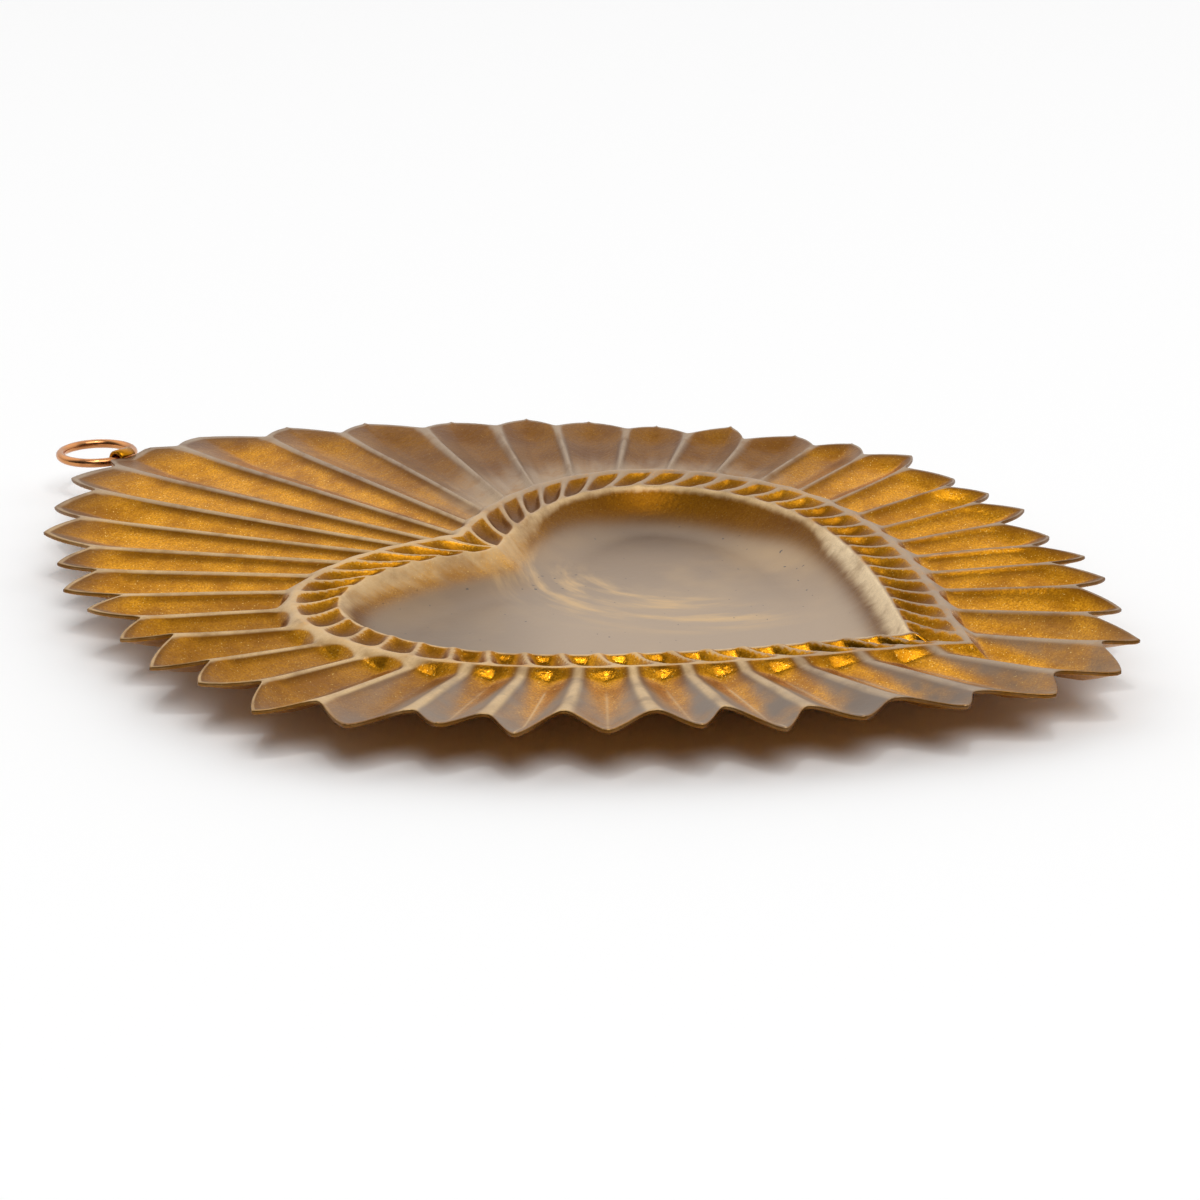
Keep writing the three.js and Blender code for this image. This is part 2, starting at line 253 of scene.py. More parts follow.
def half_rim():
    """Evenly spaced points of the heart's rim, on the +X side, from the cleft to the tip."""
    widest = (HEART_HALF_WIDTH, WIDEST_Y)
    lobe = bezier([
        (0, CLEFT_Y),
        (CLEFT_HANDLE[0], CLEFT_Y + CLEFT_HANDLE[1]),
        (HEART_HALF_WIDTH, WIDEST_Y + LOBE_HANDLE),
        widest,
    ])
    flank = bezier([
        widest,
        (HEART_HALF_WIDTH, WIDEST_Y - FLANK_HANDLE),
        (TIP_HANDLE[0], HEART_TIP_Y + TIP_HANDLE[1]),
        (0, HEART_TIP_Y),
    ])
    path = np.vstack([lobe, flank[1:]])
    arc = np.concatenate([[0], np.cumsum(np.hypot(*np.diff(path, axis=0).T))])
    even = np.linspace(0, arc[-1], RIM_STEPS + 1)
    return np.column_stack([np.interp(even, arc, path[:, k]) for k in (0, 1)]), even


rim, rim_arcs = half_rim()
rim_angles = np.arctan2(rim[:, 0], rim[:, 1])
rim_radii = np.hypot(rim[:, 0], rim[:, 1])
tail = rim[-1] + np.outer(np.arange(RIM_STEPS), rim[-1] - rim[-2])
guide = np.vstack([rim, tail])


def half_columns():
    """Angles from 0 to half a turn, closer together at the ridges and the valleys of the rays."""
    steps = np.arange(STEPS_PER_HALF_RAY) / STEPS_PER_HALF_RAY
    bunched = (steps + (1 - np.cos(math.pi * steps)) / 2) / 2
    halves = np.arange(RAY_COUNT)[:, None] + bunched
    return np.append(halves.ravel() * math.pi / RAY_COUNT, math.pi)


def both_sides(half):
    """A row of values on the +X side, and the same on the other side."""
    return np.concatenate([half, half[-2:0:-1]])


half_angles = half_columns()
angles = np.concatenate([half_angles, TURN - half_angles[-2:0:-1]])
half_rim_radii = np.interp(half_angles, rim_angles, rim_radii)
rim_arc = both_sides(np.interp(half_angles, rim_angles, rim_arcs))
sines = np.sin(angles)
cosines = np.cos(angles)


def offset_radii(offset):
    """Radius in each column where the rim is a given distance away: outside it, or inside where negative."""
    near = half_rim_radii.copy()
    far = near + OFFSET_REACH * offset if offset > 0 else np.zeros_like(near)
    for _ in range(HALVINGS):
        middle = (near + far) / 2
        x = middle * np.sin(half_angles)
        y = middle * np.cos(half_angles)
        apart = np.hypot(x[:, None] - guide[:, 0], y[:, None] - guide[:, 1]).min(axis=1)
        short = apart < abs(offset)
        near = np.where(short, middle, near)
        far = np.where(short, far, middle)
    return both_sides((near + far) / 2)


def rim_height(radii):
    """Height of the rim carried on to its neighbourhood: level, but lower about the cleft."""
    away = (radii * sines) ** 2 + (radii * cosines - CLEFT_Y) ** 2
    return RIM_TOP - CLEFT_DIP * np.exp(-away / CLEFT_DIP_REACH**2)


def around(turn, reach):
    """1 in the columns about a turn in degrees from the top, and 0 from a reach away on."""
    apart = np.abs((np.degrees(angles) - turn + 180) % 360 - 180)
    return smooth(SIDE_SOFTNESS * (1 - apart / reach))


near_ray = around(NEAR_TURN, NEAR_REACH)
far_ray = around(FAR_TURN, FAR_REACH)
broad_ray = around(BROAD_TURN, BROAD_REACH)
brown_ray = around(BROWN_TURN, BROWN_REACH)
bright_ray = around(BRIGHT_TURN, BRIGHT_REACH)
ray_number = np.round(angles / TURN * RAY_COUNT) % RAY_COUNT
ridge_number = np.floor(angles / TURN * RAY_COUNT)
ray_share = (angles / TURN * RAY_COUNT) % 1
ridge = 1 - np.abs(2 * ray_share - 1)  # 0 on the valley of a ray and 1 on the ridge beside it


def uneven(pace):
    """A value for each point and each notch, from -1 to 1 and 0 beside the ring, and even between them."""
    at_points = np.sin(pace * ray_number)
    at_notches = np.sin(NOTCH_PACE * pace * ridge_number) * (ridge_number < RAY_COUNT - 1)
    return lerp(at_points, at_notches, ridge)


def rounded(rounding):
    """The share from a valley to its ridge, with the ridge rounded off."""
    away = np.sqrt((1 - ridge) ** 2 + rounding**2) - rounding
    whole = np.sqrt(1 + rounding**2) - rounding
    return 1 - away / whole


def point_radii():
    """Radius of the outline through the points: an ellipse drawn in at its corners."""
    upper = cosines > 0
    fullness = np.where(upper, UPPER_FULLNESS, LOWER_FULLNESS)
    reach = np.where(upper, TOP_POINT, BOTTOM_POINT)
    sideways = np.abs(sines / HALF_WIDTH) ** fullness
    lengthways = np.abs(cosines / reach) ** fullness
    return (sideways + lengthways) ** (-1 / fullness)


flute = rounded(lerp(RIDGE_ROUND, NEAR_RIDGE_ROUND, near_ray)) ** FLUTE_CURVE
bead_width = lerp(lerp(BEAD_WIDTH, BROAD_BEAD_WIDTH, broad_ray), NEAR_BEAD_WIDTH, near_ray)
bead_height = lerp(BEAD_HEIGHT, NEAR_BEAD_HEIGHT, near_ray)
rail_radii = offset_radii(RAIL_END)
rail_height = rim_height(rail_radii) + RAIL_RISE
notch_depth = NOTCH_DEPTH * lerp(1, NEAR_NOTCH, near_ray)
notch = rounded(lerp(NOTCH_ROUND, NEAR_NOTCH_ROUND, near_ray))
notch = notch * lerp(1, notch, POINT_ROUND)
edge_radii = point_radii() - notch_depth * notch
ray_length = edge_radii - rail_radii
top_ray = cosines > math.cos(TURN / RAY_COUNT)
cut_radii = np.where(top_ray, np.minimum(edge_radii, SHOULDER_Y / cosines), edge_radii)


def ray_out(radii):
    """How far out along a ray each column is: 0 at the rail and 1 at the edge."""
    return np.clip((radii - rail_radii) / ray_length, 0, 1)


def ray_end(radii):
    """0 along a ray, up to 1 where its flute has grown shallow at its end."""
    share = (radii - rail_radii) / ray_length
    return smooth((share - FLUTE_FADE) / (1 - FLUTE_FADE))


def from_ridge(radii):
    """How far each column lies from the nearest ridge."""
    return (1 - ridge) * radii * math.pi / RAY_COUNT


def score_line(radii):
    """How far each column lies on the line scored down the middle of its ray, from 0 to 1."""
    from_valley = ridge * radii * math.pi / RAY_COUNT
    along = smooth((radii - rail_radii - SCORE_FROM) / SCORE_RUN)
    return np.maximum(near_ray, far_ray) * np.clip(1 - from_valley / SCORE_WIDTH, 0, 1) * along


def flute_hollow(radii):
    """How far the rays lie below the line of their ridges."""
    half_width = radii * math.pi / RAY_COUNT
    out = np.maximum(radii - rail_radii, 0)
    swept = smooth((out - FLUTE_SWEEP * ridge**2) / FLUTE_RUN)
    start = lerp(swept, 1 - np.maximum(1 - out / POCKET_RUN, 0) ** 2, near_ray)
    end = ray_end(radii)
    depth = lerp(FLUTE_SLOPE * half_width * start, NOTCH_RISE, end)
    bead = bead_height * (1 - np.exp(-((from_ridge(radii) / bead_width) ** 2)))
    return depth * (1 - flute) + bead * start * (1 - end)


def ray_height(radii):
    """Height of the rays, from the rail out to the cut edge."""
    share = ray_out(radii)
    dip = RIDGE_DIP * smooth((radii - rail_radii) / FLUTE_RUN) * (1 - share)
    crest = lerp(rail_height, NOTCH_TOP, share) - dip
    return crest - flute_hollow(radii) + SCORE_RISE * score_line(radii)


def dish_height(offset, radii):
    """Height of the dish's wall at a distance inside the rim, where offset is negative."""
    share = np.clip(1 + offset / DISH_WALL, 0, 1)
    return FLOOR_TOP + (rim_height(radii) - FLOOR_TOP) * share**DISH_CURVE


def rope_dimple(share):
    """How deep each column lies in a dimple, at a share of the rope's width, from 0 to 1."""
    pitch = rim_arcs[-1] / ROPE_DIMPLES
    phase = (rim_arc - ROPE_SLANT * share) / pitch
    across = math.sqrt(math.sin(math.pi * share))
    return across * (1 - np.abs(np.cos(math.pi * phase)) ** ROPE_BRIDGE)


def border_dimple(offset):
    """The same at a distance outside the rim, on the rope and the rail."""
    return rope_dimple(min(offset / ROPE_WIDTH, 1))


def border_height(offset, radii):
    """Height at a distance outside the rim: the rope, the rail and on to the rays."""
    if offset > RAIL_END:
        return ray_height(radii)
    if offset > ROPE_WIDTH:
        return rim_height(radii) + RAIL_RISE
    share = offset / ROPE_WIDTH
    depth = lerp(ROPE_DEPTH, NEAR_ROPE_DEPTH, near_ray)
    drop = BRIDGE_DROP * math.sin(math.pi * share) + depth * rope_dimple(share)
    return rim_height(radii) + share * RAIL_RISE - drop


def round_creases(rows):
    """Rounds the creases that run along the rows, by averaging each height with those of rows beside it."""
    for _ in range(CREASE_ROUNDS):
        inner = (rows[:-4] + 4 * rows[1:-3] + 6 * rows[2:-2] + 4 * rows[3:-1] + rows[4:]) / 16
        rows = np.vstack([rows[:2], inner, rows[-2:]])
    return rows


near_cleft = 1 - smooth(rim_arc / np.where(sines > 0, CLEFT_REACH, LEFT_REACH))
on_flank = smooth((rim_arc - FLANK_FROM) / (FLANK_TO - FLANK_FROM))
on_lobe = np.exp(-(((rim_arc - LOBE_MIDDLE) / LOBE_REACH) ** LOBE_FLATNESS)) * (sines > 0)


def patina(offset):
    """How much brown patina each column has at a distance inside the rim, from 0 to 1."""
    top = lerp(PATINA_TOP, PATINA_LOBE_TOP, on_lobe)
    fade = lerp(PATINA_FADE, PATINA_LOBE_FADE, on_lobe)
    return smooth((top - 1 - offset / DISH_WALL) / fade)


def waxed(offset, radii):
    """How much wax each column has at a distance outside the rim, from 0 to 1, with a painted sheen where far
    rays start.
    """
    if offset < 0:
        reach = WAX_RIM + WAX_CLEFT * near_cleft + WAX_FLANK * on_flank
        return (1 - WAX_CLEFT_WEAR * near_cleft) * (1 - smooth(-offset / reach / WAX_WALL_FADE))
    if offset <= RAIL_END:
        reach = lerp(WAX_DIMPLE, WAX_FAR_DIMPLE, far_ray)
        return 1 - smooth(ROPE_DEPTH * border_dimple(offset) / reach)
    hollow = lerp(lerp(WAX_HOLLOW, WAX_BROAD_HOLLOW, broad_ray), WAX_END_HOLLOW, ray_end(radii))
    in_flute = smooth(flute_hollow(radii) / hollow)
    out = ray_out(radii)
    off_crest = smooth((from_ridge(radii) - lerp(*WAX_NEAR_CREST, out)) / WAX_NEAR_FADE)
    on_ridge = 1 - lerp(in_flute, off_crest, np.maximum(near_ray, WAX_FAR_BREADTH * far_ray))
    # A painted pale sheen where the far rays start, laid on as wax
    far_sheen = FAR_SHEEN_START * far_ray * (1 - smooth(out / FAR_SHEEN_REACH))
    return np.max([on_ridge, far_sheen, WAX_SCORE * near_ray * score_line(radii)], axis=0)


def sheened(offset, radii):
    """How much painted grey sheen the near rays have: towards their ends and their ridges."""
    if offset <= RAIL_END:
        return 0 * angles
    out = (radii - rail_radii) / ray_length
    return near_ray * smooth((out + SHEEN_RIDGE * ridge - SHEEN_FROM) / SHEEN_RUN)


def greyed(offset, radii):
    """How much painted grey sheen the wax has: on the border and the rays, more so to the camera's right and
    far side.
    """
    if offset < 0:
        return 0 * angles
    across = radii * (sines * ACROSS[0] + cosines * ACROSS[1])
    down = radii * (sines * DOWN[0] + cosines * DOWN[1])
    return GREY_MOST * smooth((np.maximum(across, -down) - GREY_FROM) / (GREY_TO - GREY_FROM))


def creamy(offset, radii):
    """How pale the wax is painted, as light falling on it: in the dish, along the flanks."""
    return on_flank * (offset < 0)


def polished(offset, radii):
    """How bright the metal is left: in the dimples of the rope, and in the pockets where the rays start."""
    if offset < 0:
        return 0 * angles
    if offset <= RAIL_END:
        return lerp(SIDE_DIMPLE_POLISH, 1, near_ray) * border_dimple(offset)
    in_pocket = (1 - ridge) * (1 - smooth((radii - rail_radii) / POCKET_END))
    return lerp(SIDE_POLISH, 1, near_ray) * in_pocket


def shaded(offset, radii):
    """How much painted shade darkens the metal: on the dish's wall but for the cleft, in the dimples of the
    rope, beside the ridges, at the rays' tips, in the pockets of near rays, and all over the far rays and
    those at the left."""
    if offset < 0:
        return 1 - CLEFT_UNSHADED * near_cleft
    if offset <= RAIL_END:
        return lerp(1, NEAR_DIMPLE_SHADE, near_ray) * np.sqrt(border_dimple(offset))
    away = (from_ridge(radii) - SHADE_FROM) / SHADE_WIDTH
    beside = (1 - smooth(away)) * (1 - ray_end(radii)) * lerp(1, BRIGHT_SHADE, bright_ray)
    out = ray_out(radii)
    tip = smooth((out - END_SHADE_FROM) / (1 - END_SHADE_FROM))
    on_far_ray = FAR_END_SHADE * lerp(FAR_START_SHADE, 1, smooth(out / FAR_SHADE_RUN))
    at_end = lerp(tip, on_far_ray, far_ray) * (1 - near_ray)
    in_pocket = POCKET_SHADE * near_ray * polished(offset, radii)
    return np.max([beside, at_end, in_pocket, BROWN_SHADE * brown_ray], axis=0)


def finish(offset, radii):
    """The marks but patina of each column at a distance outside the rim, in the order of MARKS."""
    return [kind(offset, radii) for kind in (waxed, shaded, sheened, greyed, creamy, polished)]


def face_rows():
    """The face's rows, from the middle of the floor out to the edge: their radii, heights and marks."""
    floor_radii = offset_radii(-DISH_WALL)
    flat = np.zeros_like(angles)
    rows = []
    for share in FLOOR_SHARES:
        brown = patina((share - 1) * floor_radii - DISH_WALL)
        rows.append((share * floor_radii, flat + FLOOR_TOP, brown, flat, 1 - brown, flat, flat, flat, flat))
    wall_offsets = np.linspace(-DISH_WALL, FINE_FROM, WALL_STEPS, endpoint=False)
    fine_offsets = np.arange(FINE_FROM, FINE_TO, FINE_STEP)
    wall_radii = [offset_radii(o) for o in wall_offsets]
    fine_radii = [offset_radii(o) if o else both_sides(half_rim_radii) for o in fine_offsets]
    wall_heights = [dish_height(o, r) for o, r in zip(wall_offsets, wall_radii)]
    fine_heights = round_creases(np.array([
        dish_height(o, r) if o < 0 else border_height(o, r) for o, r in zip(fine_offsets, fine_radii)
    ]))
    offsets = [*wall_offsets, *fine_offsets]
    for offset, radii, height in zip(offsets, wall_radii + fine_radii, [*wall_heights, *fine_heights]):
        rows.append((radii, height, patina(offset), *finish(offset, radii)))
    # The last even row lies as far inside the start of the edge as the edge is wide
    for share in [*np.linspace(0, 2 * EDGE_FROM - 1, RAY_STEPS)[1:], EDGE_FROM, 1]:
        radii = lerp(fine_radii[-1], cut_radii - EDGE_ROUND, share)
        wax, *others = finish(FINE_TO, radii)
        if share >= EDGE_FROM:
            wax = np.maximum(wax, WAX_EDGE * (1 - near_ray))
        rows.append((radii, ray_height(radii), flat, wax, *others))
    radii, heights, *marks = [np.array(kind) for kind in zip(*rows)]
    return radii, heights, dict(zip(MARKS, marks))


def bent(radii, heights):
    """Points of a row, with the ends of the rays bent a little, each in its own way."""
    out = ray_out(radii) ** 2
    turned = angles + UNEVEN_TURN * uneven(TURN_PACE) * out / edge_radii
    longer = radii + UNEVEN_LENGTH * uneven(LENGTH_PACE) * out
    raised = heights + UNEVEN_HEIGHT * uneven(HEIGHT_PACE) * out
    return np.column_stack([longer * np.sin(turned), longer * np.cos(turned), raised])


def add_object(name, points, faces, material):
    """A smooth mesh object from points in millimetres."""
    mesh = bpy.data.meshes.new(name)
    mesh.from_pydata((np.asarray(points) * MM).tolist(), [], faces)
    mesh.shade_smooth()
    mesh.materials.append(material)
    made = bpy.data.objects.new(name, mesh)
    bpy.context.scene.collection.objects.link(made)
    return made


def sheet_marks(face_marks, back):
    """The marks of every point of the sheet: of its face, its cut edge, its back and both middles."""
    marks = {}
    for name, values in face_marks.items():
        edge = CUT_EDGE_MARKS.get(name, values[-1]) + 0 * values[[-1, -1]]
        behind = values[back] if name in BACK_MARKS else 0 * values[back]
        middles = [1, 0] if name == "patina" else [0, 0]
        marks[name] = np.append(np.vstack([values, edge, behind]).ravel(), middles)
    return marks


def sheet_mesh():
    """Points, faces and marks of the pressed sheet: its face, its rounded cut edge and its back."""
    radii, heights, face_marks = face_rows()
    columns = len(angles)
    back = np.append(np.arange(0, len(radii) - 1, BACK_STEP), len(radii) - 1)[::-1]
    upper_edge = (cut_radii, heights[-1] - EDGE_ROUND)
    lower_edge = (cut_radii, heights[-1] - SHEET + EDGE_ROUND)
    rows = [*zip(radii, heights), upper_edge, lower_edge, *zip(radii[back], heights[back] - SHEET)]
    points = [bent(r, z) for r, z in rows]
    points += [[(0, 0, FLOOR_TOP)], [(0, 0, FLOOR_TOP - SHEET)]]
    here = np.arange(columns)
    following = np.roll(here, -1)
    faces = []
    for row in range(len(rows) - 1):
        inner = row * columns
        outer = inner + columns
        faces += np.column_stack([inner + here, inner + following, outer + following, outer + here]).tolist()
    face_middle = len(rows) * columns
    last = (len(rows) - 1) * columns
    faces += [(face_middle, j, i) for i, j in zip(here.tolist(), following.tolist())]
    faces += [(face_middle + 1, last + i, last + j) for i, j in zip(here.tolist(), following.tolist())]
    marks = sheet_marks(face_marks, back)
    marks["along"] = np.append(np.tile(rim_arc, len(rows)), [0, 0])
    return np.vstack(points), faces, marks


def rounded_plate(half_width, low, high, bevel):
    """Corners of a plate's section, with bevelled edges, as (sideways, up)."""
    return [
        (half_width, low + bevel),
        (half_width, high - bevel),
        (half_width - bevel, high),
        (bevel - half_width, high),
        (-half_width, high - bevel),
        (-half_width, low + bevel),
        (bevel - half_width, low),
        (half_width - bevel, low),
    ]


def tube_faces(rings, sides, closed):
    """Faces round a tube whose points lie ring by ring, with caps where it isn't closed on itself."""
    faces = []
    for ring in range(rings if closed else rings - 1):
        for side in range(sides):
            a = ring * sides + side
            b = ring * sides + (side + 1) % sides
            step = sides if ring < rings - 1 else -ring * sides
            faces.append((a, b, b + step, a + step))
    if not closed:
        faces.append(tuple(reversed(range(sides))))
        faces.append(tuple(range((rings - 1) * sides, rings * sides)))
    return faces


def eye_mesh():
    """The roll of sheet that holds the ring."""
    section = rounded_plate(EYE_WIDTH / 2, EYE_BORE, EYE_OUTSIDE, EDGE_ROUND)
    points = []
    for turn in np.radians(np.linspace(EYE_START, EYE_END, EYE_STEPS)):
        for x, radius in section:
            points.append((x, EYE_Y + radius * math.cos(turn), EYE_Z + radius * math.sin(turn)))
    return points, tube_faces(EYE_STEPS, len(section), False)


def ring_mesh():
    """The wire ring, level, with its wire through the eye."""
    points = []
    for turn in np.arange(RING_STEPS) * TURN / RING_STEPS:
        for side in np.arange(WIRE_STEPS) * TURN / WIRE_STEPS:
            radius = RING_RADIUS + WIRE / 2 * math.cos(side)
            y = EYE_Y + RING_RADIUS - radius * math.cos(turn)
            points.append((radius * math.sin(turn), y, EYE_Z + WIRE / 2 * math.sin(side)))
    return points, tube_faces(RING_STEPS, WIRE_STEPS, True)


# Places of the colours among the sockets of a Mix node
MIX_A = 6
MIX_B = 7
MIX_RESULT = 2


class Graph:
    """The node tree of a material or a world, with short ways to add nodes."""

    def __init__(self, owner):
        owner.use_nodes = True
        self.owner = owner
        self.tree = owner.node_tree
        self.shader = self.tree.nodes.get("Principled BSDF") or self.tree.nodes["Background"]

    def add(self, kind, **settings):
        made = self.tree.nodes.new(kind)
        for key, value in settings.items():
            setattr(made, key, value)
        return made

    def link(self, source, target):
        """Joins a node's output to a socket, or sets the socket to a number or a colour."""
        if hasattr(source, "is_output"):
            self.tree.links.new(source, target)
        else:
            target.default_value = source

    def put(self, name, source):
        """The same for one of the shader's sockets."""
        self.link(source, self.shader.inputs[name])

    def place(self, kind):
        """Where a point lies, in one of the texture coordinates."""
        return self.add("ShaderNodeTexCoord").outputs[kind]

    def mark(self, name):
        """One of the mesh's own values."""
        return self.add("ShaderNodeAttribute", attribute_name=name).outputs["Fac"]

    def noise(self, vector, scale, detail=2.0, roughness=0.5):
        made = self.add("ShaderNodeTexNoise")
        self.link(vector, made.inputs["Vector"])
        made.inputs["Scale"].default_value = scale
        made.inputs["Detail"].default_value = detail
        made.inputs["Roughness"].default_value = roughness
        return made.outputs["Fac"]

    def mix(self, share, a, b):
        """A share of the way from one colour to another."""
        made = self.add("ShaderNodeMix", data_type="RGBA")
        self.link(share, made.inputs["Factor"])
        self.link(a, made.inputs[MIX_A])
        self.link(b, made.inputs[MIX_B])
        return made.outputs[MIX_RESULT]

    def spread(self, value, low, high, new_low=0.0, new_high=1.0):
        """A value between low and high, spread evenly between two others."""
        made = self.add("ShaderNodeMapRange", interpolation_type="SMOOTHSTEP")
        self.link(value, made.inputs["Value"])
        for key, number in zip(("From Min", "From Max", "To Min", "To Max"), (low, high, new_low, new_high)):
            made.inputs[key].default_value = number
        return made.outputs["Result"]

    def math(self, operation, *values):
        made = self.add("ShaderNodeMath", operation=operation)
        for value, socket in zip(values, made.inputs):
            self.link(value, socket)
        return made.outputs[0]

    def product(self, a, b):
        return self.math("MULTIPLY", a, b)

    def larger(self, a, b):
        return self.math("MAXIMUM", a, b)

    def moved(self, value, by, reach):
        """A value moved by a reach where another value is 1, and the other way where that is -1."""
        return self.math("MULTIPLY_ADD", by, reach, value)

    def vector(self, operation, *vectors):
        """A node that works on vectors."""
        made = self.add("ShaderNodeVectorMath", operation=operation)
        for value, socket in zip(vectors, made.inputs):
            self.link(value, socket)
        return made.outputs

    def along(self, place, direction):
        """How far a place lies along a direction."""
        return self.vector("DOT_PRODUCT", place, direction)["Value"]

    def bump(self, height, distance, strength):
        made = self.add("ShaderNodeBump")
        self.link(height, made.inputs["Height"])
        self.link(strength, made.inputs["Strength"])
        made.inputs["Distance"].default_value = distance
        return made.outputs["Normal"]


# Colours
GOLD = (0.86, 0.385, 0.016, 1)
DEEP_GOLD = (0.29, 0.1, 0.001, 1)
FLAKE = (0.95, 0.6, 0.16, 1)
# Dark brown gold for painted shade: beside ridges, in dimples, pockets and tips, and on the dish's wall
BROWN_GOLD = (0.1, 0.033, 0.002, 1)
WAX = (0.68, 0.46, 0.22, 1)
DARK_WAX = (0.4, 0.245, 0.105, 1)
# Pale cream for painted light on the wax along the flanks
CREAM = (0.88, 0.67, 0.4, 1)
# Mauve grey for a painted sheen on the wax
MAUVE_WAX = (0.33, 0.24, 0.17, 1)
# The next two colours are a painted grey sheen, the second where it is greyer
SHEEN_MAUVE = (0.225, 0.165, 0.12, 1)
DARK_SHEEN = (0.14, 0.09, 0.055, 1)
PATINA = (0.27, 0.165, 0.08, 1)
PATINA_STREAK = (0.62, 0.385, 0.14, 1)
PALE_PATINA = (0.44, 0.305, 0.185, 1)
DEEP_PATINA = (0.12, 0.065, 0.025, 1)
SPECK = (0.05, 0.03, 0.015, 1)
COPPER = (0.62, 0.27, 0.1, 1)
DARK_COPPER = (0.3, 0.11, 0.04, 1)
WHITE = (1, 1, 1, 1)

# Noises: their scale, detail and roughness, with the scale in cells to a metre
GRAIN_NOISE = (4200, 2, 0.7)
CLOUD_NOISE = (150, 4, 0.65)
FLAKE_NOISE = (5200, 0)
DENT_NOISE = (1300, 1)
SHEEN_NOISE = (120, 3, 0.6)
WEAR_NOISE = (260, 3, 0.6)
PATCH_NOISE = (55, 3, 0.6)
SPECK_NOISE = (1700, 0)
COPPER_NOISE = (350, 2, 0.5)
STROKE_NOISE = (1, 4, 0.55)  # on places that are already in cells, as the next
STREAK_NOISE = (1, 3, 0.6)

# How values are spread: from low to high, and from which amount to which where it isn't from 0 to 1
GRAIN_GOLD = (0.25, 0.75, 0.2, 0.9)  # gold in deep gold, by the grain
CLOUD_GOLD = (0.38, 0.68, 0, 0.75)  # deep gold over that, by the cloud
FLAKES = (0.74, 0.82)
SHEEN_COVER = (0.3, 0.65, 0.45, 1)
CLOUD_WAX = (0.42, 0.75, 0, 0.8)  # dark wax in wax, by the cloud
WAX_COVER = (0.15, 0.85)
GRAIN_WEAR = (0.3, 0.7, 1, 0.8)  # how much wax the grain leaves
PATCH_WEAR = (0.48, 0.72, 1, 0.55)  # how much of it worn patches leave
PATINA_COVER = (0.02, 0.98)
PATINA_PATCHES = (0.45, 0.7, 0, 0.3)
PALE_DOWN = (-0.015, 0.011)  # paler patina, along DOWN
FAR_DOWN = (-0.027, -0.014, 0.75, 0)  # darker at the far side, along DOWN: a painted dark reflection over the patina
LEFT_ACROSS = (-0.019, -0.002)  # paler patina, along ACROSS, and deeper patina to the left of it
SPECKS = (0.825, 0.85)
STROKES = (0.42, 0.7)
STREAKS = (0.2, 0.8, -1, 1)
METALLIC = (0, 1, 1, 0.4)  # by how much wax or painted sheen there is
ROUGHNESS = (0, 1, 0.31, 0.42)  # by how far the gold is covered or under painted shade
COAT = (0, 1, 0, 0.9)  # by how much patina there is
BUMP_STRENGTH = (0.1, 0.8, 1, 0.4)  # by how far the gold is covered
COPPER_TARNISH = (0.45, 0.75, 0, 0.6)
COPPER_ROUGHNESS = (0.3, 0.7, 0.16, 0.26)

# Single amounts of the finish
SHADE_SHARE = 0.86
PALE_SHARE = 0.7
LEFT_DEPTH = 0.6
COAT_ROUGHNESS = 0.38
WAX_FEATHER = 0.1  # how far streaks move the edges of the wax
PATINA_FEATHER = 0.02  # the same for the patina
GRAIN_HEIGHT = 0.00002
DENT_SHARE = 2.5  # how much deeper the small dents in the lacquer are than its grain
POLISHED_DENTS = -1  # what is added to that in the bright metal
POLISH = -0.2  # what the bright metal's roughness differs by

# Brush strokes on the dish's floor, and short streaks down its wall
SWEEP_MIDDLE = (0.017, -0.001, 0)  # the strokes run round this point
SWEEP_INNER = (0.009, 0.0135)  # away from it they start between these distances
SWEEP_OUTER = (0.0196, 0.028, 1, 0)  # and end between these
SWEEP_SIDE = (-0.0135, -0.0054, 1, 0)  # they end towards +X too
STROKE_ACROSS = 420  # cells to a metre
STROKE_ROUND = 1.6  # cells to a radian
STREAK_ALONG = 0.7  # cells to a millimetre along the rim
STREAK_DOWN = 0.5  # cells from where there is no patina to where it is full


def strokes(graph, place):
    """Brush strokes that sweep in arcs over the dish's floor, from 0 to 1."""
    away = graph.vector("SUBTRACT", place, SWEEP_MIDDLE)[0]
    distance = graph.vector("LENGTH", away)["Value"]
    parts = graph.add("ShaderNodeSeparateXYZ")
    graph.link(away, parts.inputs[0])
    turn = graph.math("ARCTAN2", parts.outputs["Y"], graph.product(parts.outputs["X"], -1))
    flat = graph.add("ShaderNodeCombineXYZ")
    graph.link(graph.product(distance, STROKE_ACROSS), flat.inputs["X"])
    graph.link(graph.product(turn, STROKE_ROUND), flat.inputs["Y"])
    fine = graph.spread(graph.noise(flat.outputs[0], *STROKE_NOISE), *STROKES)
    inner = graph.spread(distance, *SWEEP_INNER)
    outer = graph.spread(distance, *SWEEP_OUTER)
    side = graph.spread(parts.outputs["X"], *SWEEP_SIDE)
    return graph.product(graph.product(fine, side), graph.product(inner, outer))


def streaked(graph):
    """Short streaks down the dish's wall, which the edges of its finishes follow, from -1 to 1."""
    place = graph.add("ShaderNodeCombineXYZ")
    graph.link(graph.product(graph.mark("along"), STREAK_ALONG), place.inputs["X"])
    graph.link(graph.product(graph.mark("patina"), STREAK_DOWN), place.inputs["Y"])
    graph.link(graph.mark("wax"), place.inputs["Z"])
    return graph.spread(graph.noise(place.outputs[0], *STREAK_NOISE), *STREAKS)


